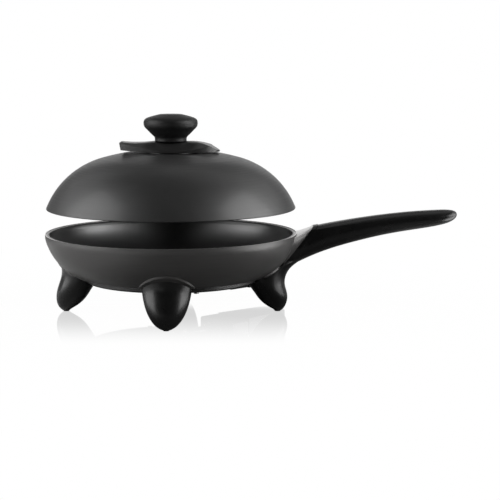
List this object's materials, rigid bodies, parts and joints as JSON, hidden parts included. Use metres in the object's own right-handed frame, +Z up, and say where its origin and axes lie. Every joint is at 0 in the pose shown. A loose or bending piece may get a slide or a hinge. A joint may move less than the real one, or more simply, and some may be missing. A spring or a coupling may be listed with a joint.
{
  "type": "electric frypan",
  "caption": "Round electric frypan standing on feet, with a long handle, a domed lid with knob and steam vent held above it, and a plug-in heat control at the back.",
  "frame": {"origin": "middle of the object's footprint box on the floor plane", "axes": "+X along the handle away from the pan, +Y to the back where the control plugs in, +Z up out of the cooking surface"},
  "size_m": [0.4582, 0.28, 0.2207],
  "materials": {
    "pan": "satin dark grey coat outside, black nonstick inside",
    "phenolic": "glossy black",
    "steel": "zinc plated",
    "rubber": "matte",
    "cover": "plain sheet",
    "ring": "satin black",
    "element": "oxidised",
    "pins": "nickel plated",
    "ceramic": "unglazed white",
    "control": "fine texture black",
    "lid": "satin dark grey coat",
    "knob": "matte black",
    "brass": "plain",
    "lens": "clear amber-red",
    "dial": "gloss black"
  },
  "bodies": {
    "base": {"pan": "pan", "handle_collar": "phenolic", "handle_body": "phenolic", "handle_screw": "steel", "foot_left": "phenolic", "foot_front": "phenolic", "foot_back": "phenolic", "foot_pads": "rubber", "foot_screws": "steel", "base_ring": "ring", "base_ring_screws": "steel", "bottom_cover": "cover", "cover_screws": "steel", "heating_element": "element", "terminal_pins": "pins", "terminal_insulators": "ceramic", "probe_tube": "steel", "socket_shroud": "control", "socket_screws": "steel"},
    "lid": {"lid_dome": "lid", "lid_knob": "knob", "knob_bush": "steel", "knob_insert": "brass", "knob_washer": "steel", "knob_screw": "steel"},
    "vent": {"vent_cap": "knob", "vent_shutter": "steel"},
    "control": {"control_base": "control", "control_cover": "control", "control_screws": "steel", "thermostat": "ceramic", "probe_rod": "steel", "contact_sleeves": "brass", "pilot_lens": "lens", "cord_grommet": "rubber"},
    "dial": {"control_dial": "dial", "dial_shaft": "steel"}
  },
  "joints": [
    {"name": "lid_lift", "type": "slide", "parent": "base", "child": "lid", "axis": [0, 0, 1], "range_m": [-0.028, 0.15]},
    {"name": "vent_turn", "type": "hinge", "parent": "lid", "child": "vent", "pos_m": [-0.0891, 0, 0.18], "axis": [0, 0, 1], "range_deg": [0, 45]},
    {"name": "control_pull", "type": "slide", "parent": "base", "child": "control", "axis": [0.7071, 0.7071, 0], "range_m": [0, 0.075]},
    {"name": "dial_turn", "type": "hinge", "parent": "control", "child": "dial", "pos_m": [0.01555, 0.10465, 0.05], "axis": [0, 0, 1], "range_deg": [0, 270]}
  ]
}
